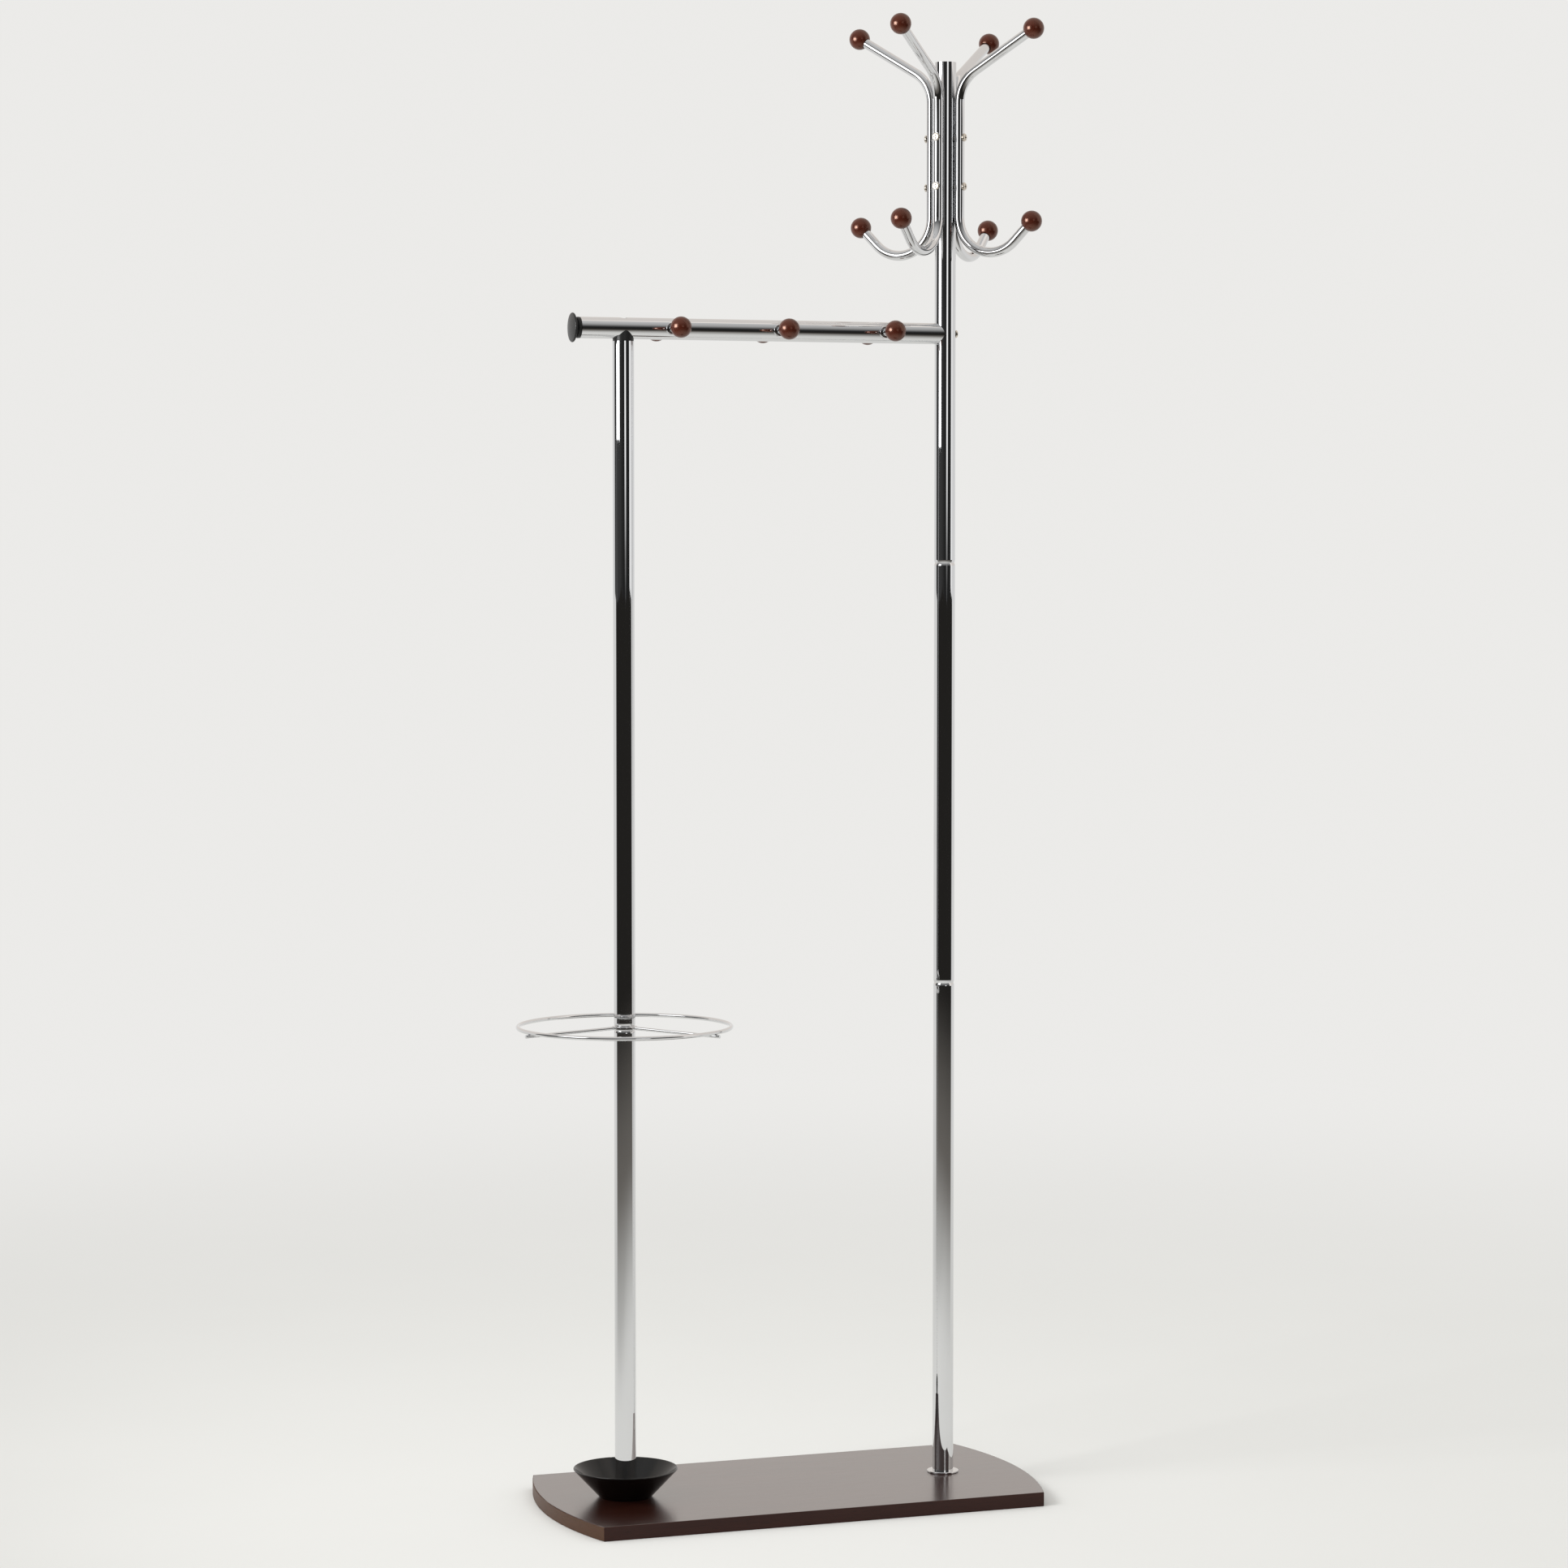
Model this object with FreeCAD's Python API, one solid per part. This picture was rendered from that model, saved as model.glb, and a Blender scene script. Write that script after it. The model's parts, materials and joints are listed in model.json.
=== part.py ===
"""Standing coat rack: a two-post chromed rack on a wooden base board.

A tall post carries four double hooks, a shorter post carries the near end of a
horizontal bar with six knobs, and an umbrella ring turns round the shorter post
above a drip bowl.

Frame: millimetres, +X along the bar from the short post to the tall one, +Z up,
origin at the centre of the base board's underside.
"""
import FreeCAD, Part
import math
import os

V = FreeCAD.Vector
X_AXIS = V(1, 0, 0)
Y_AXIS = V(0, 1, 0)
Z_AXIS = V(0, 0, 1)

# ---------------------------------------------------------------- driving sizes
# tubing shared by both posts and the bar
tube_diameter = 25.4
tube_wall = 1.2
tube_end_taper = 0.9          # how far a rolled tube end draws in
tube_end_length = 3.4         # how long the rolled stretch is

# base board
base_straight = 550.0         # length of the straight front and back edges
base_depth = 295.0
base_thickness = 17.0
base_bulge = 25.0             # how far each bowed end stands out
base_edge_radius = 1.0

# posts
post_spacing = 406.0
post_lower_length = 598.5
post_middle_length = 509.0
post_upper_length = 600.0
post_flange_margin = 6.55     # foot flange past the tube, all round
post_flange_thickness = 2.5
coupler_length = 90.0
coupler_wall = 2.0
top_plug_length = 14.0
top_plug_recess = 0.4
top_plug_wall = 2.0

# base fasteners, one set under each post
base_bolt_diameter = 8.0
base_bolt_head_diameter = 13.0
base_bolt_head_height = 5.0
base_bolt_engagement = 13.0   # thread inside the foot nut
base_washer_diameter = 18.0
base_washer_thickness = 1.6
base_counterbore_depth = 8.0
foot_nut_length = 16.0

# drip bowl
bowl_rim_diameter = 124.0
bowl_foot_diameter = 62.0
bowl_height = 34.0
bowl_wall = 1.6

# umbrella ring
ring_height = 579.0           # wire centre above the floor
ring_diameter = 253.0         # through the wire centre
ring_wire_diameter = 5.0
spoke_diameter = 4.0
spoke_overhang = 4.5          # spoke end past the ring wire's centre
spoke_count = 3
first_spoke_angle = 70.7
hub_margin = 2.1              # hub past the tube, all round
hub_thickness = 4.0
hub_below_ring = 1.2          # hub's middle under the ring's plane

# bar
bar_drop = 324.5              # bar axis below the tall post's top
bar_overhang = 53.6           # tube end past the short post's axis
bar_mouth_ease = 2.3          # coped end's radius past the post's radius
saddle_step = 0.3             # saddle stands in from the tube's surface
saddle_lip = 2.4              # plain band of the saddle under the bar
saddle_plug_length = 16.0
saddle_nut_length = 12.0
bar_insert_length = 16.0
bar_insert_setback = 4.0      # behind the deepest point of the coped mouth

# bar end cap
cap_disc_margin = 4.6         # disc past the tube, all round
cap_disc_thickness = 2.6
cap_disc_round = 1.0          # how far the disc's edge rounds off
cap_dome = 1.6
cap_neck_depth = 1.95         # neck below the tube's surface
cap_neck_length = 3.2
cap_collar_step = 0.1
cap_collar_length = 4.0
cap_collar_round = 0.6
cap_plug_length = 18.0
cap_plug_lead = 0.8           # lead-in taper of the plug

# bar knobs
knob_count = 3
first_knob_offset = 56.0      # from the short post's axis
last_knob_offset = 82.0       # from the tall post's axis
knob_reach = 47.5             # ball centre from the bar axis
knob_flange_diameter = 14.6
knob_flange_thickness = 2.6
knob_stem_diameter = 10.4
knob_rod_diameter = 6.0
knob_rod_bite = 4.0           # rod end past the ball's centre

# wooden balls, the same on the bar and on the hooks
ball_diameter = 25.0
ball_socket_depth = 5.3       # recess floor below the ball's pole

# hooks
hook_tube_diameter = 12.0
hook_tube_wall = 1.0
hook_bend_radius = 43.0
hook_top_reach = 117.0
hook_top_lift = 34.0          # upper ball's centre above the post's top
hook_top_rise = 30.5          # degrees above level
hook_low_reach = 115.0
hook_low_drop = 193.5         # lower ball's centre below the post's top
hook_low_rise = 45.0
hook_screw_drop = 90.5        # upper screw below the post's top
hook_screw_spacing = 58.5
hook_turn = -3.5              # degrees the hook group stands turned from the bar's diagonals
hook_diagonals = {"front_left": 225.0, "front_right": 315.0, "back_left": 135.0, "back_right": 45.0}
stud_plug_length = 14.0
stud_diameter = 6.0
stud_bite = 5.0               # stud end past the ball's centre

# small screws and long bolts with round heads
screw_diameter = 5.0
screw_head_diameter = 9.4
screw_head_height = 2.6
screw_slot_width = 1.1
screw_slot_length = 5.2
screw_slot_depth = 1.1
hook_screw_length = 17.0
screw_flat_depth = 0.5        # shallow flat on the hook tube under each head
screw_flat_margin = 0.3       # flat past the head, all round
rivet_nut_bulge_diameter = 8.6
rivet_nut_length = 4.4
rivet_nut_neck = 0.6          # neck wall round the thread, in the post's hole
bar_bolt_diameter = 6.0
bar_bolt_bite = 12.0          # thread inside an insert

# edge roundings
coupler_edge = 0.6
nut_edge = 0.5
washer_edge = 0.3
flange_edge = 0.8
hub_edge = 1.0
knob_flange_edge = 0.9
top_plug_edge = 0.6
screw_head_edge = 0.45        # share of the head's height

# clearances
slip = 0.02                   # faces that seat on each other
recess_gap = 0.55             # dark gap round a tube where it enters a ball
bolt_gap = 0.25               # plain hole round a bolt, per side
washer_gap = 1.0              # counterbore round a washer, per side
turning_gap = 0.05            # hub bore round its bearing sleeve, per side
hub_end_gap = 0.3             # hub faces to the tube ends
hook_gap = 0.1                # hook tube to post
access_gap = 0.55             # access hole round the saddle bolt's head, per side

# ---------------------------------------------------------------- worked-out sizes
tube_r = tube_diameter / 2
tube_bore_r = tube_r - tube_wall
base_top = base_thickness
short_post_x = -post_spacing / 2
tall_post_x = post_spacing / 2

tall_post_foot = base_top + post_flange_thickness
lower_joint = tall_post_foot + post_lower_length
upper_joint = lower_joint + post_middle_length
tall_post_top = upper_joint + post_upper_length

bar_height = tall_post_top - bar_drop
hub_height = ring_height - hub_below_ring
short_post_foot = base_top + bowl_wall
short_lower_top = hub_height - hub_thickness / 2 - hub_end_gap
short_upper_foot = hub_height + hub_thickness / 2 + hub_end_gap
saddle_skirt = tube_r + saddle_lip               # saddle's lower edge under the bar axis
short_upper_top = bar_height - saddle_skirt

bar_start = short_post_x - bar_overhang
# the mouth's cutter touches the tall post's near side at the top and bottom of the bar
bar_mouth_r = tube_r + bar_mouth_ease
bar_mouth_x = tall_post_x - tube_r + bar_mouth_r
bar_mouth_depth = tall_post_x - tube_r
insert_end = bar_mouth_depth - bar_insert_setback
knob_pitch = (post_spacing - first_knob_offset - last_knob_offset) / (knob_count - 1)
knob_positions = [short_post_x + first_knob_offset + n * knob_pitch for n in range(knob_count)]

hook_r = hook_tube_diameter / 2
hook_stem = tube_r + hook_gap + hook_r          # stem centreline from the post axis
screw_seat = hook_stem + hook_r - screw_flat_depth
hook_top_height = tall_post_top + hook_top_lift
hook_low_height = tall_post_top - hook_low_drop
hook_screw_heights = [tall_post_top - hook_screw_drop - n * hook_screw_spacing for n in range(2)]
ball_r = ball_diameter / 2
ball_seat = ball_r - ball_socket_depth           # recess floor from the ball's centre
rivet_neck_r = screw_diameter / 2 + rivet_nut_neck


# ---------------------------------------------------------------- helpers
def save(name, *solids):
    """Write one node; several solids become a group."""
    shape = solids[0] if len(solids) == 1 else Part.makeCompound(list(solids))
    shape.exportStep("parts/" + name + ".step")


def rod(radius, start, direction, length):
    """Round bar from start along direction."""
    return Part.makeCylinder(radius, length, start, direction)


def turned(points, centre=V(0, 0, 0)):
    """Solid of revolution about Z through centre, from (radius, height) points.

    A point given as a pair of pairs is an arc: (point on the arc, its end).
    """
    edges = []
    last = V(points[0][0], 0, points[0][1])
    for point in points[1:]:
        if isinstance(point[0], tuple):
            middle = V(point[0][0], 0, point[0][1])
            end = V(point[1][0], 0, point[1][1])
            edges.append(Part.Arc(last, middle, end).toShape())
        else:
            end = V(point[0], 0, point[1])
            edges.append(Part.LineSegment(last, end).toShape())
        last = end
    first = V(points[0][0], 0, points[0][1])
    edges.append(Part.LineSegment(last, first).toShape())
    solid = Part.Face(Part.Wire(edges)).revolve(V(0, 0, 0), Z_AXIS, 360)
    solid.translate(centre)
    return solid


def easing(run, drop):
    """Middle of an arc that starts along a line and has left it by drop after run: (along, off)."""
    radius = (run ** 2 + drop ** 2) / (2 * drop)
    half = math.asin(run / radius) / 2
    return radius * math.sin(half), radius * (1 - math.cos(half))


def rolled_corner(z_end, inward):
    """Arc of a rolled tube end: leaves the wall tangentially and draws in by the taper."""
    along, off = easing(tube_end_length, tube_end_taper)
    return tube_r - off, z_end + inward * (tube_end_length - along)


def post_tube(x, z_low, z_high, roll_low=True, roll_high=True):
    """Upright tube with rolled ends."""
    points = [(tube_bore_r, z_low)]
    if roll_low:
        points.append((tube_r - tube_end_taper, z_low))
        points.append((rolled_corner(z_low, 1), (tube_r, z_low + tube_end_length)))
    else:
        points.append((tube_r, z_low))
    if roll_high:
        points.append((tube_r, z_high - tube_end_length))
        points.append((rolled_corner(z_high, -1), (tube_r - tube_end_taper, z_high)))
    else:
        points.append((tube_r, z_high))
    points.append((tube_bore_r, z_high))
    return turned(points, V(x, 0, 0))


def washer(x, z_low, outer_r, bore_r, thickness, edge):
    """Flat ring with rounded outer edges."""
    z_high = z_low + thickness
    slant = edge * (1 - math.sqrt(0.5))
    return turned([
        (bore_r, z_low),
        (outer_r - edge, z_low),
        ((outer_r - slant, z_low + slant), (outer_r, z_low + edge)),
        (outer_r, z_high - edge),
        ((outer_r - slant, z_high - slant), (outer_r - edge, z_high)),
        (bore_r, z_high),
    ], V(x, 0, 0))


def round_head(seat, direction, head_r, height, shank_r, shank_length, cross):
    """Pan-head fastener: head above the seat point, shank against direction."""
    edge = height * screw_head_edge
    slant = edge * (1 - math.sqrt(0.5))
    body = turned([
        (0, -shank_length),
        (shank_r, -shank_length),
        (shank_r, 0),
        (head_r, 0),
        (head_r, height - edge),
        ((head_r - slant, height - slant), (head_r - edge, height)),
        (0, height),
    ])
    if cross:
        for length, width in ((screw_slot_length, screw_slot_width), (screw_slot_width, screw_slot_length)):
            corner = V(-length / 2, -width / 2, height - screw_slot_depth)
            body = body.cut(Part.makeBox(length, width, height, corner))
    body.Placement = FreeCAD.Placement(seat, FreeCAD.Rotation(Z_AXIS, direction))
    return body


def ball(centre, towards_tube, socket_r, thread_r, thread_bite):
    """Wooden ball with a round socket for the tube end and a threaded hole past its centre."""
    socket = rod(socket_r, centre + towards_tube * ball_seat, towards_tube, ball_r)
    hole_start = centre - towards_tube * (thread_bite + slip)
    hole = rod(thread_r, hole_start, towards_tube, thread_bite + ball_r)
    return Part.makeSphere(ball_r, centre).cut(socket).cut(hole)


def at_post(shape, angle):
    """Turn a shape drawn towards +X to the given angle and set it on the tall post."""
    placed = shape.copy()
    placed.rotate(V(0, 0, 0), Z_AXIS, angle)
    placed.translate(V(tall_post_x, 0, 0))
    return placed


# ---------------------------------------------------------------- base
def base_board():
    """Board with straight long edges and bowed ends, drilled for the two base bolts."""
    x = base_straight / 2
    y = base_depth / 2
    left_front, left_back = V(-x, -y, 0), V(-x, y, 0)
    right_front, right_back = V(x, -y, 0), V(x, y, 0)
    outline = Part.Wire([
        Part.LineSegment(left_front, right_front).toShape(),
        Part.Arc(right_front, V(x + base_bulge, 0, 0), right_back).toShape(),
        Part.LineSegment(right_back, left_back).toShape(),
        Part.Arc(left_back, V(-x - base_bulge, 0, 0), left_front).toShape(),
    ])
    board = Part.Face(outline).extrude(V(0, 0, base_thickness))
    level = base_thickness / 1000
    rims = [e for e in board.Edges if e.BoundBox.ZLength < level]
    board = board.makeFillet(base_edge_radius, rims)
    for x in (short_post_x, tall_post_x):
        hole = rod(base_bolt_diameter / 2 + bolt_gap, V(x, 0, 0), Z_AXIS, base_thickness)
        pocket = rod(base_washer_diameter / 2 + washer_gap, V(x, 0, 0), Z_AXIS, base_counterbore_depth)
        board = board.cut(hole).cut(pocket)
    return board


def base_fasteners():
    """Bolt, washer and foot nut under each post."""
    bolts, washers, nuts = [], [], []
    feet = ((short_post_x, short_post_foot), (tall_post_x, tall_post_foot))
    for x, foot in feet:
        seat = base_counterbore_depth - base_washer_thickness
        hex_r = base_bolt_head_diameter / 2 / math.cos(math.radians(30))
        corners = [V(x + hex_r * math.cos(math.radians(60 * n)), hex_r * math.sin(math.radians(60 * n)),
                     seat - base_bolt_head_height) for n in range(7)]
        head = Part.Face(Part.makePolygon(corners)).extrude(V(0, 0, base_bolt_head_height))
        shank_length = foot + base_bolt_engagement - seat
        shank = rod(base_bolt_diameter / 2, V(x, 0, seat), Z_AXIS, shank_length)
        bolts.append(head.fuse(shank).removeSplitter())
        washers.append(washer(x, seat, base_washer_diameter / 2, base_bolt_diameter / 2 + bolt_gap,
                              base_washer_thickness, washer_edge))
        nuts.append(washer(x, foot, tube_bore_r, base_bolt_diameter / 2, foot_nut_length, nut_edge))
    save("base_bolts", *bolts)
    save("base_washers", *washers)
    save("post_foot_nuts", *nuts)


def drip_bowl():
    """Thin conical bowl clamped under the short post, with a rounded rim."""
    foot_r = bowl_foot_diameter / 2
    rim_r = bowl_rim_diameter / 2
    slope = math.atan2(rim_r - foot_r, bowl_height)
    across = V(math.cos(slope), 0, -math.sin(slope))       # outward normal of the wall
    wall = across * bowl_wall
    bottom = base_top
    rim = base_top + bowl_height - bowl_wall * math.sin(slope)
    outer_rim = (rim_r, rim)
    inner_rim = (rim_r - wall.x, rim - wall.z)
    lip_middle = (rim_r - wall.x / 2 + wall.z / -2, rim - wall.z / 2 + wall.x / 2)
    inner_foot_r = foot_r + bowl_wall * (math.tan(slope) - 1 / math.cos(slope))
    return turned([
        (base_bolt_diameter / 2 + bolt_gap, bottom),
        (foot_r, bottom),
        outer_rim,
        (lip_middle, inner_rim),
        (inner_foot_r, bottom + bowl_wall),
        (base_bolt_diameter / 2 + bolt_gap, bottom + bowl_wall),
    ], V(short_post_x, 0, 0))


# ---------------------------------------------------------------- posts
def coupler(x, z_middle):
    """Steel sleeve that joins two tube sections from inside."""
    return washer(x, z_middle - coupler_length / 2, tube_bore_r, tube_bore_r - coupler_wall,
                  coupler_length, coupler_edge)


def hook_screw_points():
    """Angle and height of every hook screw."""
    angles = [diagonal + hook_turn for diagonal in hook_diagonals.values()]
    return [(angle, height) for angle in angles for height in hook_screw_heights]


def tall_post():
    """Three tube sections, their couplers, the foot flange and the top plug."""
    save("main_post_flange", washer(tall_post_x, base_top, tube_r + post_flange_margin,
                                    base_bolt_diameter / 2 + bolt_gap, post_flange_thickness, flange_edge))
    save("main_post_lower_tube", post_tube(tall_post_x, tall_post_foot, lower_joint, roll_low=False))
    save("main_post_middle_tube", post_tube(tall_post_x, lower_joint, upper_joint))

    upper = post_tube(tall_post_x, upper_joint, tall_post_top, roll_high=False)
    bar_bolt_hole = rod(bar_bolt_diameter / 2 + bolt_gap, V(tall_post_x - tube_diameter, 0, bar_height),
                        X_AXIS, 2 * tube_diameter)
    upper = upper.cut(bar_bolt_hole)
    for angle, height in hook_screw_points():
        hole = rod(rivet_neck_r, V(0, 0, height), X_AXIS, tube_diameter)
        upper = upper.cut(at_post(hole, angle))
    save("main_post_upper_tube", upper)

    save("main_post_lower_coupler", coupler(tall_post_x, lower_joint))
    save("main_post_upper_coupler", coupler(tall_post_x, upper_joint))
    plug_top = tall_post_top - top_plug_recess
    plug = washer(tall_post_x, plug_top - top_plug_length, tube_bore_r, 0, top_plug_length, top_plug_edge)
    hollow = rod(tube_bore_r - top_plug_wall, V(tall_post_x, 0, plug_top - top_plug_length), Z_AXIS,
                 top_plug_length - top_plug_wall)
    save("main_post_top_plug", plug.cut(hollow))


def short_post():
    """Two tube sections with the ring hub between them, and the sleeve it turns on."""
    save("bar_post_lower_tube", post_tube(short_post_x, short_post_foot, short_lower_top, roll_low=False))
    save("bar_post_upper_tube", post_tube(short_post_x, short_upper_foot, short_upper_top, roll_high=False))
    save("bar_post_coupler", coupler(short_post_x, hub_height))


# ---------------------------------------------------------------- umbrella ring
def umbrella_ring():
    """Wire ring, three spokes under it and the flat hub they are welded to."""
    centre = V(short_post_x, 0, 0)
    ring_r = ring_diameter / 2
    wire_r = ring_wire_diameter / 2
    spoke_r = spoke_diameter / 2
    hub_r = tube_r + hub_margin

    hub = washer(short_post_x, hub_height - hub_thickness / 2, hub_r,
                 tube_bore_r + turning_gap, hub_thickness, hub_edge)
    wire = Part.makeTorus(ring_r, wire_r, centre + V(0, 0, ring_height), Z_AXIS)

    inner = V(hub_r - hub_edge, 0, hub_height)
    crossing = V(ring_r, 0, ring_height - wire_r - spoke_r - slip)
    direction = (crossing - inner).normalize()
    length = (crossing - inner).Length + spoke_overhang
    spokes = []
    for n in range(spoke_count):
        spoke = rod(spoke_r, inner, direction, length)
        spoke.rotate(V(0, 0, 0), Z_AXIS, first_spoke_angle + n * 360 / spoke_count)
        spoke.translate(centre)
        spokes.append(spoke.cut(hub))
    save("umbrella_ring_wire", wire)
    save("umbrella_ring_spokes", *spokes)
    save("umbrella_ring_hub", hub)


# ---------------------------------------------------------------- bar
def cross_bar():
    """Tube coped round the tall post, drilled for the knobs and the saddle bolt."""
    length = tall_post_x - bar_start
    bar = rod(tube_r, V(bar_start, 0, bar_height), X_AXIS, length)
    bar = bar.cut(rod(tube_bore_r, V(bar_start, 0, bar_height), X_AXIS, length))
    mouth = rod(bar_mouth_r, V(bar_mouth_x, 0, bar_height - tube_diameter), Z_AXIS, 2 * tube_diameter)
    post = rod(tube_r + slip, V(tall_post_x, 0, bar_height - tube_diameter), Z_AXIS, 2 * tube_diameter)
    bar = bar.cut(mouth).cut(post)
    for x in knob_positions:
        hole = rod(knob_rod_diameter / 2 + bolt_gap, V(x, -tube_diameter, bar_height), Y_AXIS,
                   2 * tube_diameter)
        bar = bar.cut(hole)
    access_r = screw_head_diameter / 2 + access_gap
    access = rod(access_r, V(short_post_x, 0, bar_height), Z_AXIS, tube_diameter)
    bolt_hole = rod(bar_bolt_diameter / 2 + bolt_gap, V(short_post_x, 0, bar_height - tube_diameter),
                    Z_AXIS, tube_diameter)
    return bar.cut(access).cut(bolt_hole)


def bar_saddle():
    """Plastic saddle between the short post's top and the bar, with a plug into the tube."""
    body = rod(tube_r - saddle_step, V(short_post_x, 0, short_upper_top), Z_AXIS, saddle_skirt)
    bar_space = rod(tube_r + slip, V(bar_start, 0, bar_height), X_AXIS, bar_overhang * 2)
    body = body.cut(bar_space)
    plug = rod(tube_bore_r, V(short_post_x, 0, short_upper_top - saddle_plug_length), Z_AXIS,
               saddle_plug_length)
    hole = rod(bar_bolt_diameter / 2 + bolt_gap, V(short_post_x, 0, short_upper_top - saddle_plug_length),
               Z_AXIS, saddle_plug_length + saddle_skirt)
    return body.fuse(plug).cut(hole).removeSplitter()


def bar_fasteners():
    """Bolt and nut at the saddle, bolt and insert at the tall post."""
    bolt_r = bar_bolt_diameter / 2
    head_r = screw_head_diameter / 2
    # the head rests across the inside of the bar's lower wall
    head_seat = bar_height - math.sqrt(tube_bore_r ** 2 - head_r ** 2)
    nut_top = short_upper_top - saddle_plug_length
    shank = head_seat - nut_top + min(bar_bolt_bite, saddle_nut_length)
    save("bar_saddle_bolt", round_head(V(short_post_x, 0, head_seat), Z_AXIS, head_r,
                                       screw_head_height, bolt_r, shank, True))
    save("bar_saddle_nut", washer(short_post_x, nut_top - saddle_nut_length, tube_bore_r, bolt_r,
                                  saddle_nut_length, nut_edge))

    insert_start = V(insert_end - bar_insert_length, 0, bar_height)
    insert = rod(tube_bore_r, insert_start, X_AXIS, bar_insert_length)
    insert = insert.cut(rod(bolt_r, insert_start, X_AXIS, bar_insert_length))
    save("bar_end_insert", insert)
    head_x = tall_post_x + tube_r
    shank = head_x - insert_end + bar_bolt_bite
    save("bar_post_bolt", round_head(V(head_x, 0, bar_height), X_AXIS, head_r, screw_head_height,
                                     bolt_r, shank, True))


def bar_end_cap():
    """Mushroom-shaped plug: domed disc, neck, collar against the tube, and a plug inside it."""
    disc_r = tube_r + cap_disc_margin
    neck_r = tube_r - cap_neck_depth
    collar_r = tube_r - cap_collar_step
    neck_low = cap_collar_length
    disc_low = neck_low + cap_neck_length
    disc_high = disc_low + cap_disc_thickness
    face_r = disc_r - cap_disc_round
    along, off = easing(face_r, cap_dome)
    cap = turned([
        (0, -cap_plug_length),
        (tube_bore_r - cap_plug_lead, -cap_plug_length),
        (tube_bore_r, -cap_plug_length + 2 * cap_plug_lead),
        (tube_bore_r, 0),
        (collar_r - cap_collar_round, 0),
        ((collar_r, cap_collar_length / 2), (collar_r - cap_collar_round, neck_low)),
        (neck_r, neck_low),
        (neck_r, disc_low),
        (face_r, disc_low),
        ((disc_r, (disc_low + disc_high) / 2), (face_r, disc_high)),
        ((along, disc_high + cap_dome - off), (0, disc_high + cap_dome)),
    ])
    cap.Placement = FreeCAD.Placement(V(bar_start, 0, bar_height), FreeCAD.Rotation(Z_AXIS, V(-1, 0, 0)))
    return cap


def knob_stem(x, side):
    """Turned spacer with a flange that sits on the bar; side is -1 in front, +1 behind."""
    out = V(0, side, 0)
    axis_point = V(x, 0, bar_height)
    flange_face = tube_r + knob_flange_thickness
    stem_end = knob_reach - ball_seat
    flange = rod(knob_flange_diameter / 2, axis_point, out, flange_face)
    face_edges = [e for e in flange.Edges if abs(abs(e.CenterOfMass.y) - flange_face) < slip]
    flange = flange.makeFillet(knob_flange_edge, face_edges)
    stem = rod(knob_stem_diameter / 2, axis_point, out, stem_end)
    bar_space = rod(tube_r + slip, axis_point - X_AXIS * knob_flange_diameter, X_AXIS,
                    2 * knob_flange_diameter)
    bore = rod(knob_rod_diameter / 2, axis_point, out, stem_end)
    return flange.fuse(stem).cut(bar_space).cut(bore).removeSplitter()


def bar_knobs():
    """Three through rods, each with a stem and a ball in front and behind."""
    rods = []
    for number, x in enumerate(knob_positions, start=1):
        for side, word in ((-1, "front"), (1, "rear")):
            out = V(0, side, 0)
            centre = V(x, 0, bar_height) + out * knob_reach
            save("bar_knob_stem_%d_%s" % (number, word), knob_stem(x, side))
            wood = ball(centre, -out, knob_stem_diameter / 2 + recess_gap, knob_rod_diameter / 2,
                        knob_rod_bite)
            save("bar_ball_%d_%s" % (number, word), wood)
        half = knob_reach + knob_rod_bite
        rods.append(rod(knob_rod_diameter / 2, V(x, -half, bar_height), Y_AXIS, 2 * half))
    save("bar_knob_rods", *rods)


# ---------------------------------------------------------------- hooks
def hook_path():
    """Centreline of a hook in the XZ plane, and where and how each ball sits."""
    bend = hook_bend_radius
    rise = math.radians(hook_top_rise)
    low_rise = math.radians(hook_low_rise)
    arm = V(math.cos(rise), 0, math.sin(rise))
    tip = V(math.cos(low_rise), 0, math.sin(low_rise))

    top_ball = V(hook_top_reach, 0, hook_top_height)
    corner_z = hook_top_height - (hook_top_reach - hook_stem) * math.tan(rise)
    tangent = bend * math.tan((math.pi / 2 - rise) / 2)
    top_centre = V(hook_stem + bend, 0, corner_z - tangent)
    arc_start = V(hook_stem, 0, corner_z) + arm * tangent
    half_turn = math.pi - (math.pi / 2 - rise) / 2
    arc_middle = top_centre + V(math.cos(half_turn), 0, math.sin(half_turn)) * bend
    stem_top = V(hook_stem, 0, corner_z - tangent)

    low_ball = V(hook_low_reach, 0, hook_low_height)
    straight = (hook_low_reach - hook_stem - bend * (1 + math.sin(low_rise))) / math.cos(low_rise)
    stem_low_z = hook_low_height + bend * math.cos(low_rise) - straight * math.sin(low_rise)
    stem_low = V(hook_stem, 0, stem_low_z)
    low_centre = V(hook_stem + bend, 0, stem_low_z)
    half_low = math.pi + (math.pi / 2 + low_rise) / 2
    low_middle = low_centre + V(math.cos(half_low), 0, math.sin(half_low)) * bend
    low_end = low_centre + V(math.sin(low_rise), 0, -math.cos(low_rise)) * bend

    path = Part.Wire([
        Part.LineSegment(top_ball - arm * ball_seat, arc_start).toShape(),
        Part.Arc(arc_start, arc_middle, stem_top).toShape(),
        Part.LineSegment(stem_top, stem_low).toShape(),
        Part.Arc(stem_low, low_middle, low_end).toShape(),
        Part.LineSegment(low_end, low_ball - tip * ball_seat).toShape(),
    ])
    return path, (top_ball, arm * -1), (low_ball, tip * -1)


def swept(path, start, direction, radius):
    """Round section carried along the path."""
    section = Part.Wire([Part.makeCircle(radius, start, direction)])
    pipe = Part.BRepOffsetAPI.MakePipeShell(path)
    pipe.add(section)
    pipe.build()
    pipe.makeSolid()
    return pipe.shape()


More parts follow.
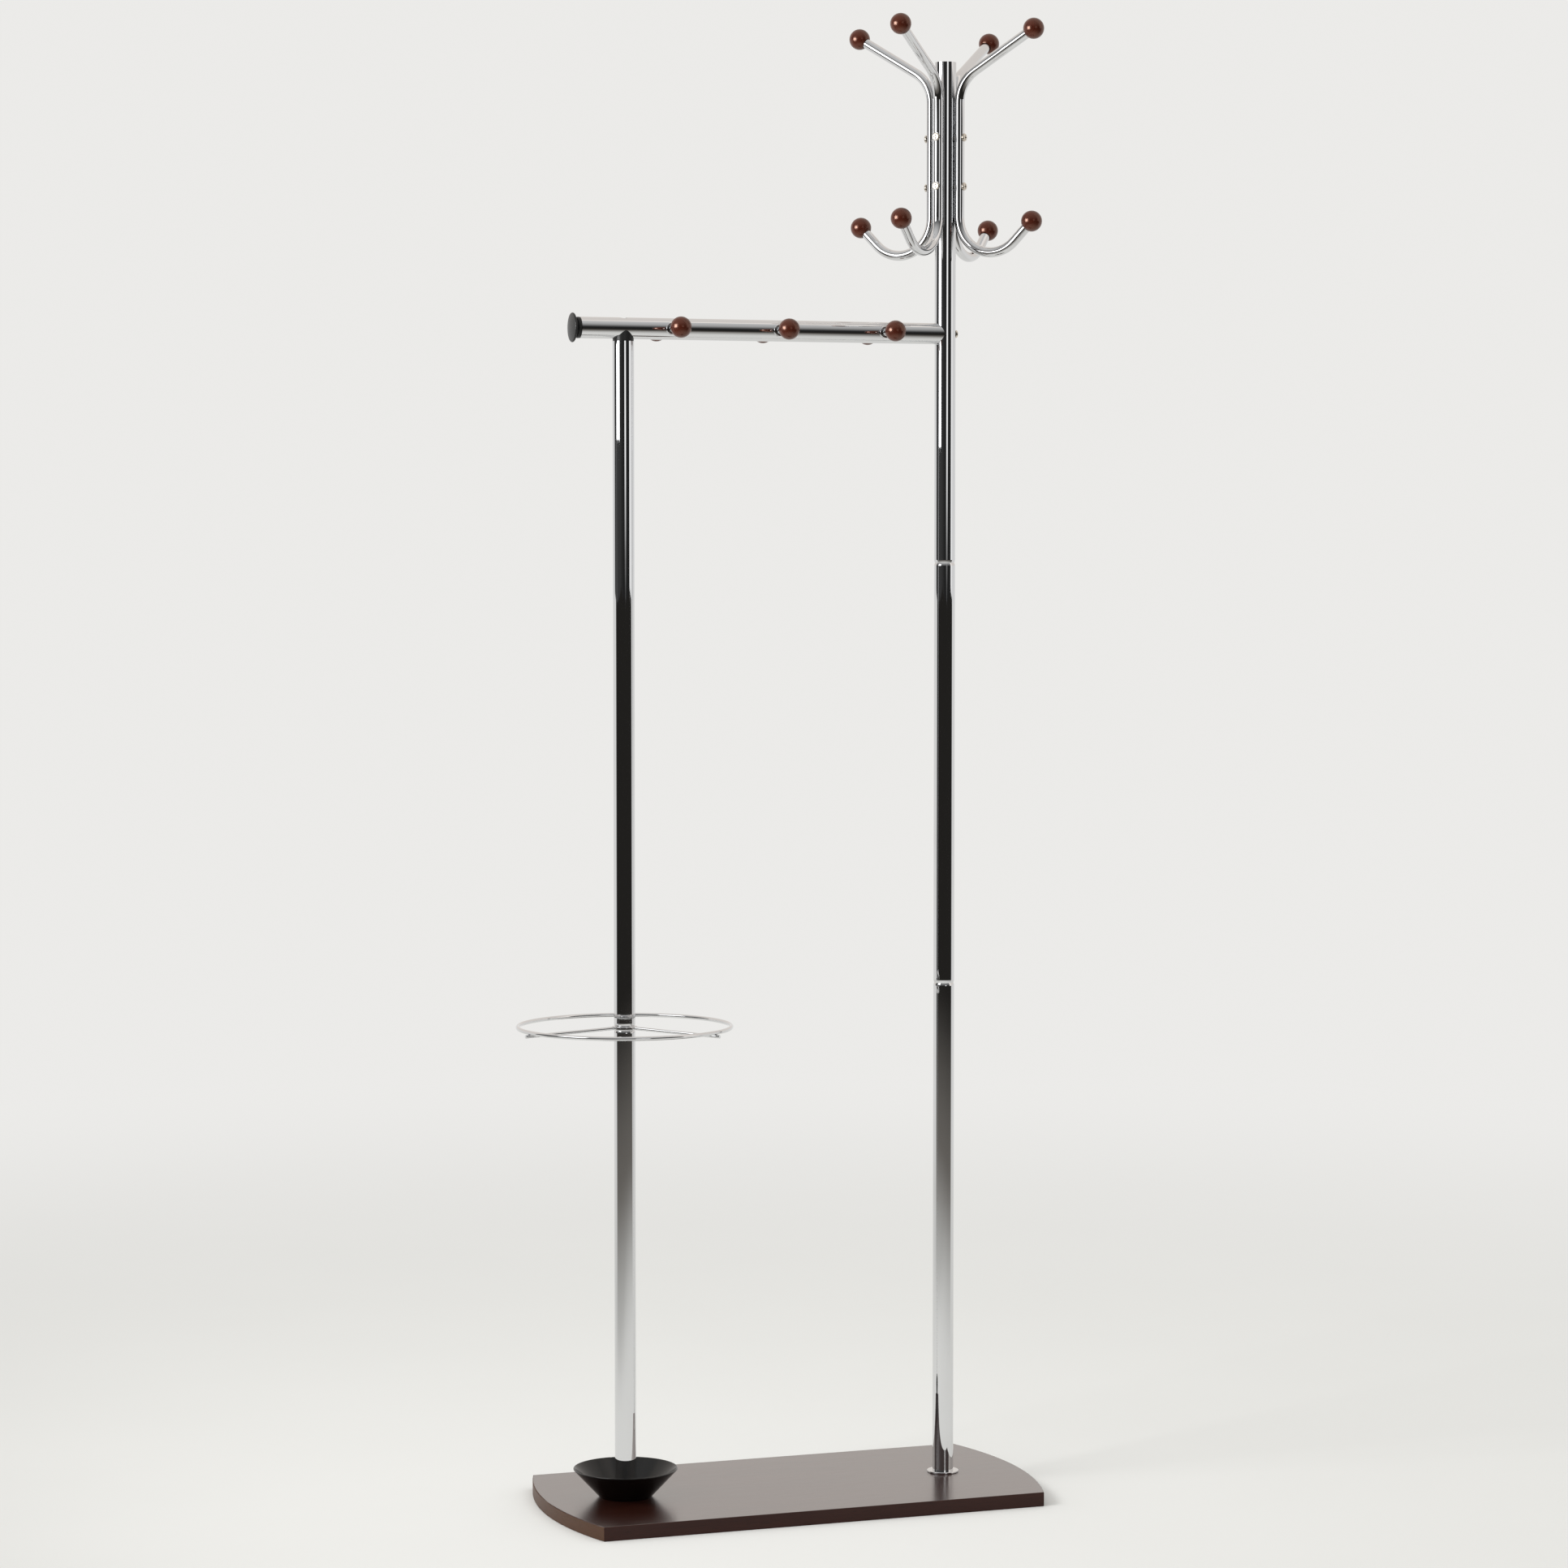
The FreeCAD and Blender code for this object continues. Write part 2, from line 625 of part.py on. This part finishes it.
def hooks():
    """Four double hooks with their balls, end studs, screws and rivet nuts."""
    path, top, low = hook_path()
    start = top[0] + top[1] * ball_seat
    tube = swept(path, start, top[1], hook_r).cut(swept(path, start, top[1], hook_r - hook_tube_wall))
    for height in hook_screw_heights:
        hole = rod(screw_diameter / 2 + bolt_gap, V(0, 0, height), X_AXIS, 2 * hook_stem)
        flat = rod(screw_head_diameter / 2 + screw_flat_margin, V(screw_seat, 0, height), X_AXIS, hook_r)
        tube = tube.cut(hole).cut(flat)

    studs, screws, nuts = [], [], []
    for name, diagonal in hook_diagonals.items():
        angle = diagonal + hook_turn
        save("hook_tube_" + name, at_post(tube, angle))
        for word, (centre, inward) in (("top", top), ("low", low)):
            wood = ball(centre, inward, hook_r + recess_gap, stud_diameter / 2, stud_bite)
            save("hook_ball_%s_%s" % (name, word), at_post(wood, angle))
            plug = rod(hook_r - hook_tube_wall, centre + inward * ball_seat, inward, stud_plug_length)
            thread = rod(stud_diameter / 2, centre - inward * stud_bite, inward, stud_bite + ball_seat)
            studs.append(at_post(plug.fuse(thread).removeSplitter(), angle))
    nut_face = math.sqrt(tube_bore_r ** 2 - (rivet_nut_bulge_diameter / 2) ** 2)
    for angle, height in hook_screw_points():
        screw = round_head(V(screw_seat, 0, height), X_AXIS, screw_head_diameter / 2, screw_head_height,
                           screw_diameter / 2, hook_screw_length, True)
        bulge = rod(rivet_nut_bulge_diameter / 2, V(nut_face - rivet_nut_length, 0, height), X_AXIS,
                    rivet_nut_length)
        neck = rod(rivet_neck_r, V(nut_face, 0, height), X_AXIS, tube_bore_r - nut_face)
        thread = rod(screw_diameter / 2, V(0, 0, height), X_AXIS, tube_diameter)
        screws.append(at_post(screw, angle))
        nuts.append(at_post(bulge.fuse(neck).cut(thread).removeSplitter(), angle))
    save("hook_ball_studs", *studs)
    save("hook_screws", *screws)
    save("hook_rivet_nuts", *nuts)


# ---------------------------------------------------------------- build
os.makedirs("parts", exist_ok=True)
save("base_board", base_board())
base_fasteners()
save("drip_bowl", drip_bowl())
tall_post()
short_post()
umbrella_ring()
save("cross_bar", cross_bar())
save("bar_saddle", bar_saddle())
bar_fasteners()
save("bar_end_cap", bar_end_cap())
bar_knobs()
hooks()
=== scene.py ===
"""Standing coat rack: finishes, floor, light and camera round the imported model.

Everything is in metres in the rack's own frame: +X along the bar from the short
post to the tall one, +Y to the back, +Z up, with the floor at zero.
"""

import json
import math
import bpy
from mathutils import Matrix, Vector


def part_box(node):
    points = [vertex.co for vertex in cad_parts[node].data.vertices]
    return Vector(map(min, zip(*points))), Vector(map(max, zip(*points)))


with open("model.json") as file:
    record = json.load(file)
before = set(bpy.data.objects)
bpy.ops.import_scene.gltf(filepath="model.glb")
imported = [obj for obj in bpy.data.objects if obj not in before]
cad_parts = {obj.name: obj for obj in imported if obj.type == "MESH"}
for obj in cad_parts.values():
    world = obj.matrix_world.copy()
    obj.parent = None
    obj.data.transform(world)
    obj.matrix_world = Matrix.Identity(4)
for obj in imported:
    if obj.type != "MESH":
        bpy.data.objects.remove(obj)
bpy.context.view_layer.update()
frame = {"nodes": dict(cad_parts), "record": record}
nodes = frame["nodes"]
micron = 0.000001


# ---------------------------------------------------------------- shader writing
class Signal:
    """A value or colour on its way through a node tree. Arithmetic on it adds Math nodes."""

    def __init__(self, tree, socket):
        self.tree = tree
        self.socket = socket

    def maths(self, operation, *values):
        return self.tree.node("Math", {"operation": operation}, dict(enumerate(values)))

    def __add__(self, other):
        return self.maths("ADD", self, other)

    def __radd__(self, other):
        return self.maths("ADD", other, self)

    def __sub__(self, other):
        return self.maths("SUBTRACT", self, other)

    def __rsub__(self, other):
        return self.maths("SUBTRACT", other, self)

    def __mul__(self, other):
        return self.maths("MULTIPLY", self, other)

    def __rmul__(self, other):
        return self.maths("MULTIPLY", other, self)

    def __truediv__(self, other):
        return self.maths("DIVIDE", self, other)

    def __pow__(self, exponent):
        return self.maths("POWER", self, exponent)

    def sine(self):
        return self.maths("SINE", self)

    def rises(self, low, high):
        """0 below low, 1 above high and an even S between. With high under low it falls."""
        limits = {"Value": self, "From Min": low, "From Max": high}
        return self.tree.node("MapRange", {"interpolation_type": "SMOOTHSTEP"}, limits)

    def along(self, direction):
        """Length of this vector along a fixed direction."""
        return self.tree.node("VectorMath", {"operation": "DOT_PRODUCT"},
                              {0: self, 1: tuple(direction)}, "Value")


class Tree:
    """The node tree of a material or of the world."""

    MIX_FACTOR, MIX_FIRST, MIX_SECOND, MIX_RESULT = 0, 6, 7, 2      # a Mix node's colour sockets

    def __init__(self, owner):
        owner.use_nodes = True
        self.owner = owner
        self.nodes = owner.node_tree.nodes
        self.links = owner.node_tree.links
        self.nodes.clear()

    def node(self, kind, settings=None, values=None, output=0):
        """One node: its settings first, then the value or link of each socket."""
        made = self.nodes.new("ShaderNode" + kind)
        for name, setting in (settings or {}).items():
            setattr(made, name, setting)
        for name, value in (values or {}).items():
            socket = made.inputs[name]
            if isinstance(value, Signal):
                self.links.new(value.socket, socket)
            elif socket.type == "RGBA":
                socket.default_value = (*value, 1.0)
            else:
                socket.default_value = value
        return Signal(self, made.outputs[output]) if made.outputs else None

    def mix(self, share, first, second):
        """Colour that goes from first to second as share goes from 0 to 1."""
        values = {self.MIX_FACTOR: share, self.MIX_FIRST: first, self.MIX_SECOND: second}
        return self.node("Mix", {"data_type": "RGBA"}, values, self.MIX_RESULT)

    def place(self, stretch=(1.0, 1.0, 1.0)):
        """Object coordinates, each multiplied by its own number."""
        where = self.node("TexCoord", output="Object")
        return self.node("Mapping", values={"Vector": where, "Scale": stretch})

    def noise(self, where, scale, detail=2.0, roughness=0.5):
        """Cloudy value about a half."""
        return self.node("TexNoise", values={"Vector": where, "Scale": scale, "Detail": detail,
                                             "Roughness": roughness})

    def bump(self, height, distance):
        """Normal of a surface raised by height times distance."""
        return self.node("Bump", values={"Height": height, "Distance": distance})

    def surface(self, **sockets):
        """Ends a material in one Principled shader; socket names have _ for spaces."""
        values = {name.replace("_", " "): value for name, value in sockets.items()}
        shader = self.node("BsdfPrincipled", values=values)
        self.node("OutputMaterial", values={"Surface": shader})
        return self.owner


def new_finish(name):
    return Tree(bpy.data.materials.new(name))


# ---------------------------------------------------------------- finishes
def chrome():
    """Polished chrome plate: a mirror with slow ripples and a trace of polishing haze."""
    clear, hazy = (0.725, 0.73, 0.74), (0.69, 0.69, 0.695)
    tree = new_finish("chrome")
    where = tree.place()
    ripple = tree.noise(where, 22.0, 1.0)
    haze = tree.noise(where, 7.0, 4.0, 0.6).rises(0.5, 0.75)
    return tree.surface(Base_Color=tree.mix(haze, clear, hazy), Metallic=1.0,
                        Roughness=0.018 + 0.025 * haze, Normal=tree.bump(ripple, 20 * micron))


def ball_wood(name, centre, axis):
    """Turned beech, stained red-brown under satin lacquer, its grain along the drilled hole.

    The year rings are a sine of the distance from the tree's pith, which lies outside the ball.
    """
    ring_spacing, ring_waver = 0.0019, 0.0022
    pith_across, pith_beside = 0.016, -0.009
    along_grain = (1.0, 1.0, 0.16)
    dark_stain, light_stain = (0.036, 0.0050, 0.0018), (0.064, 0.0105, 0.0048)
    fleck_stain = (0.022, 0.004, 0.002)
    warm_gloss = (1.0, 0.62, 0.48)
    tree = new_finish(name)
    turn = Vector(axis).to_track_quat("Z", "Y").to_euler()
    where = tree.node("TexCoord", output="Object")
    local = tree.node("Mapping", {"vector_type": "TEXTURE"},
                      {"Vector": where, "Location": tuple(centre), "Rotation": tuple(turn)})
    long_grain = tree.node("Mapping", values={"Vector": local, "Scale": along_grain})
    across, beside = local.along((1.0, 0.0, 0.0)), local.along((0.0, 1.0, 0.0))
    drift = tree.noise(long_grain, 160.0, 2.0)
    pith = ((across - pith_across) ** 2.0 + (beside - pith_beside) ** 2.0) ** 0.5
    rings = ((pith + ring_waver * drift) * (2 * math.pi / ring_spacing)).sine() * 0.5 + 0.5
    streaks = tree.noise(long_grain, 900.0, 3.0, 0.6)
    flecks = tree.noise(long_grain, 2600.0, 1.0).rises(0.62, 0.74)
    depth = 0.35 * rings + 0.6 * (streaks - 0.5) + 0.35 * drift
    stain = tree.mix(flecks * 0.4, tree.mix(depth, dark_stain, light_stain), fleck_stain)
    relief = 0.4 * streaks - 0.3 * flecks
    return tree.surface(Base_Color=stain, Roughness=0.21 + 0.06 * streaks, Specular_IOR_Level=0.9,
                        Specular_Tint=warm_gloss, Normal=tree.bump(relief, 8 * micron))


def base_veneer():
    """Dark brown veneer: straight grain along the board, edge banding that runs round the ends."""
    grain_on_flat, grain_on_end = (0.05, 1.0, 1.0), (1.0, 0.05, 1.0)
    dark_stain, light_stain = (0.018, 0.0036, 0.0020), (0.044, 0.0120, 0.0072)
    banding_stain, pore_stain = (0.090, 0.040, 0.018), (0.005, 0.0015, 0.001)
    tree = new_finish("base_veneer")
    facing = tree.node("NewGeometry", output="Normal")
    end = facing.along((1.0, 0.0, 0.0))
    is_end = (end * end).rises(0.35, 0.65)
    is_top = facing.along((0.0, 0.0, 1.0)).rises(0.5, 0.8)
    grains = []
    for stretch in (grain_on_flat, grain_on_end):
        where = tree.place(stretch)
        grains.append((tree.noise(where, 38.0, 3.0, 0.55), tree.noise(where, 420.0, 3.0, 0.6),
                       tree.noise(where, 1500.0, 1.0).rises(0.62, 0.72)))
    figure, fibre, pores = [flat + is_end * (banding - flat) for flat, banding in zip(*grains)]
    tone = 0.75 * figure + 0.55 * fibre - 0.15
    stain = tree.mix(tone, dark_stain, light_stain)
    stain = tree.mix(is_end * 0.8, stain, banding_stain)
    stain = tree.mix(pores * 0.5, stain, pore_stain)
    relief = 0.4 * fibre - pores
    polish = 0.50 + 0.08 * fibre - is_top * 0.22
    return tree.surface(Base_Color=stain, Roughness=polish, Specular_IOR_Level=0.2,
                        Coat_Weight=0.15 + 0.85 * is_top, Coat_Roughness=0.2,
                        Normal=tree.bump(relief, 8 * micron))


def black_plastic():
    """Moulded black plastic with a fine satin grain."""
    tree = new_finish("black_plastic")
    grain = tree.noise(tree.place(), 2400.0, 2.0)
    cloud = tree.noise(tree.place(), 60.0, 2.0)
    tint = tree.mix(cloud, (0.010, 0.010, 0.0105), (0.018, 0.018, 0.0175))
    return tree.surface(Base_Color=tint, Roughness=0.26 + 0.14 * grain, Specular_IOR_Level=0.24,
                        Normal=tree.bump(grain, 6 * micron))


def bowl_enamel():
    """Black enamel on pressed steel, with the slight orange peel of a sprayed coat."""
    tree = new_finish("bowl_enamel")
    peel = tree.noise(tree.place(), 420.0, 1.0)
    cloud = tree.noise(tree.place(), 40.0, 2.0)
    tint = tree.mix(cloud, (0.0022, 0.0021, 0.0021), (0.0040, 0.0038, 0.0036))
    return tree.surface(Base_Color=tint, Roughness=0.13 + 0.06 * cloud, Specular_IOR_Level=0.4,
                        Normal=tree.bump(peel, 5 * micron))


def nickel():
    """Nickel-plated screw heads: warm, with fine turning scratches."""
    tree = new_finish("nickel")
    scratch = tree.noise(tree.place((1.0, 1.0, 0.1)), 2200.0, 2.0)
    cloud = tree.noise(tree.place(), 300.0, 2.0)
    tint = tree.mix(cloud, (0.60, 0.54, 0.46), (0.74, 0.68, 0.60))
    return tree.surface(Base_Color=tint, Metallic=1.0, Roughness=0.14 + 0.14 * scratch,
                        Normal=tree.bump(scratch, 10 * micron))


def zinc():
    """Bright zinc on the inner fittings, mottled where it crystallised."""
    tree = new_finish("zinc")
    mottle = tree.node("TexVoronoi", values={"Vector": tree.place(), "Scale": 420.0})
    cloud = tree.noise(tree.place(), 150.0, 3.0)
    tint = tree.mix(0.6 * mottle + 0.4 * cloud, (0.50, 0.51, 0.53), (0.66, 0.665, 0.67))
    return tree.surface(Base_Color=tint, Metallic=1.0, Roughness=0.26 + 0.2 * cloud,
                        Normal=tree.bump(mottle, 10 * micron))


# ---------------------------------------------------------------- camera's own axes
camera_yaw = 0.3392                       # how far the view turns from +Y towards +X, in radians
camera_pitch = 0.0561                     # how far it looks down
camera_lens, sensor = 97.84, 36.0         # in millimetres
camera_place = Vector((-1.6964, -4.7997, 1.1489))
to_right = Vector((math.cos(camera_yaw), -math.sin(camera_yaw), 0.0))
into_view = Vector((math.sin(camera_yaw), math.cos(camera_yaw), 0.0))


def camera():
    """Camera in front of the rack and to its left, looking slightly down."""
    data = bpy.data.cameras.new("camera")
    data.lens = camera_lens
    data.sensor_width = sensor
    data.clip_end = 200.0
    holder = bpy.data.objects.new("camera", data)
    holder.location = camera_place
    holder.rotation_euler = (math.pi / 2 - camera_pitch, 0.0, -camera_yaw)
    bpy.context.scene.collection.objects.link(holder)
    bpy.context.scene.camera = holder
    bpy.context.scene.view_settings.view_transform = "Standard"


# ---------------------------------------------------------------- studio
backdrop = (0.836, 0.829, 0.812)
open_studio = 0.02                        # the unlit room in front of the rack


def ray(tree, kind):
    """1 for rays of that kind, 0 for the others."""
    return tree.node("LightPath", output=kind)


def surround():
    """Even pale surround. In mirrors it is a pale half behind the rack and a dark room in front.

    Directions are fixed: side is 1 to the right of the rack's front view, ahead is 1 straight out
    in front of it and rise is 1 straight up. side and ahead are taken along the ground.
    """
    even_light = (0.83, 0.83, 0.815)
    pale, rim_gain, near_gain, stand_gain, strip_gain = 0.82, 0.22, 1.1, 0.12, 0.08
    green_loss, blue_loss = 0.055, 0.10       # how far the pale half turns warm towards its top
    world = bpy.data.worlds.new("surround")
    bpy.context.scene.world = world
    tree = Tree(world)
    towards = tree.node("TexCoord", output="Generated")
    rise = towards.along((0.0, 0.0, 1.0))
    level = (1.0 - rise * rise) ** 0.5
    ahead = towards.along(-into_view) / level
    side = towards.along(to_right) / level

    pale_half = (0.334 * side - 0.943 * ahead).rises(-0.09, -0.03)
    right_rim = pale_half * ahead.rises(0.0, 0.1) * rim_gain
    ceiling = rise.rises(0.08, 0.95) * 0.62
    room = open_studio + side.rises(0.1, -0.9) * 0.03 + ceiling
    strip = side.rises(-0.95, -0.97) * ahead.rises(0.12, 0.18) * strip_gain
    in_room = ahead.rises(0.5, 0.6)
    stand = side.rises(0.34, 0.36) * side.rises(0.42, 0.39) * in_room * stand_gain
    near_light = (side.rises(0.22, 0.26) * side.rises(0.52, 0.46) * in_room
                  * rise.rises(-0.014, 0.03) * rise.rises(0.3, 0.2)) * near_gain
    seen = room + strip + stand + pale_half * (pale - room) + right_rim + near_light
    warmth = pale_half * rise.rises(0.02, 0.2)
    mirrored = tree.node("CombineColor", values={0: seen, 1: seen * (0.995 - green_loss * warmth),
                                                 2: seen * (0.985 - blue_loss * warmth)})

    even = tree.mix(ray(tree, "Is Camera Ray"), even_light, backdrop)
    colour = tree.mix(ray(tree, "Is Glossy Ray"), even, mirrored)
    glow = tree.node("Background", values={"Color": colour, "Strength": 1.0})
    tree.node("OutputWorld", values={"Surface": glow})


def floor():
    """Pale floor out to the horizon.

    Far off it glows in the surround's tone. Mirrors see it turn brown and dark in front of the rack.
    """
    reach = 80.0
    fade_from, fade_to = 0.7, 4.0             # metres from the rack, where it becomes the surround
    darken_from, darken_to = 0.8, 2.9         # the same in mirrors, in front of the rack
    dim_gain, dim_from, dim_to = 0.16, 2.0, 6.0     # the brown glow there, which dies away
    light_paper, dark_paper = (0.82, 0.815, 0.795), (0.80, 0.795, 0.775)
    corners = [(-reach, -reach, 0.0), (reach, -reach, 0.0), (reach, reach, 0.0),
               (-reach, reach, 0.0)]
    mesh = bpy.data.meshes.new("floor")
    mesh.from_pydata(corners, [], [(0, 1, 2, 3)])
    tree = new_finish("floor_paper")
    where = tree.node("TexCoord", output="Object")
    across, back = where.along((1.0, 0.0, 0.0)), where.along((0.0, 1.0, 0.0))
    distance = (across * across + back * back) ** 0.5
    ahead = where.along(-into_view) / distance
    mirror = ray(tree, "Is Glossy Ray")
    in_front = mirror * ahead.rises(-0.1, 0.1)
    far_open = distance.rises(fade_from, fade_to)
    far_mirror = distance.rises(darken_from, darken_to)
    far = far_open + in_front * (far_mirror - far_open)
    dim = open_studio + dim_gain * distance.rises(dim_to, dim_from)
    brown = tree.node("CombineColor", values={0: dim, 1: dim * 0.93, 2: dim * 0.84})
    pale = tree.mix(in_front, backdrop, brown)
    mottle = tree.noise(where, 3.0, 3.0)
    paper = tree.node("BsdfDiffuse", values={"Color": tree.mix(mottle, dark_paper, light_paper)})
    glow = tree.node("Emission", values={"Color": pale})
    shader = tree.node("MixShader", values={0: far, 1: paper, 2: glow})
    tree.node("OutputMaterial", values={"Surface": shader})
    mesh.materials.append(tree.owner)
    ground = bpy.data.objects.new("floor", mesh)
    bpy.context.scene.collection.objects.link(ground)


def key_light(name, watts, linking, metal):
    """Soft box on the left, its lower edge above the knobs.

    linking is INCLUDE to light the metal pieces only, or EXCLUDE to light all but them.
    """
    place, aim = Vector((-2.1, -0.45, 1.82)), Vector((0.0, 0.0, 1.8))
    width, height, spread = 1.2, 1.0, 125
    data = bpy.data.lights.new(name, "AREA")
    data.shape = "RECTANGLE"
    data.size, data.size_y = width, height
    data.energy = watts
    data.spread = math.radians(spread)
    lamp = bpy.data.objects.new(name, data)
    lamp.location = place
    lamp.rotation_euler = (aim - place).to_track_quat("-Z", "Y").to_euler()
    lamp.visible_camera = False
    bpy.context.scene.collection.objects.link(lamp)
    pieces = bpy.data.collections.new(name + "_pieces")
    lamp.light_linking.receiver_collection = pieces
    for piece in metal:
        pieces.objects.link(piece)
    for linked in pieces.collection_objects:
        linked.light_linking.link_state = linking


# ---------------------------------------------------------------- dressing the nodes
def dress():
    """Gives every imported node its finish. Each ball has its own, on the line of its drilled hole."""
    bar_hole = Vector((0.0, 1.0, 0.0))
    hooks_middle = Vector((0.203, 0.0, 1.65))
    plain = {"chrome": chrome(), "base_wood": base_veneer(), "black_plastic": black_plastic(),
             "bowl_black": bowl_enamel(), "nickel_screw": nickel(), "zinc_steel": zinc()}
    for part in frame["record"]["subparts"]:
        name = part["node"]
        finish = plain.get(part["material_slot"])
        if finish is None:
            low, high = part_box(name)
            centre = (low + high) / 2
            hole = bar_hole if name.startswith("bar_") else centre - hooks_middle
            finish = ball_wood(name + "_stain", centre, hole)
        materials = nodes[name].data.materials
        materials.clear()
        materials.append(finish)


dress()
floor()
surround()

# The metal has a weaker soft box of its own, because a mirror shows the box itself.
metal_slots = ("chrome", "nickel_screw", "zinc_steel")
metal_pieces = [nodes[part["node"]] for part in frame["record"]["subparts"]
                if part["material_slot"] in metal_slots]
key_light("key_light", 30.0, "EXCLUDE", metal_pieces)
key_light("key_light_on_metal", 6.0, "INCLUDE", metal_pieces)
camera()
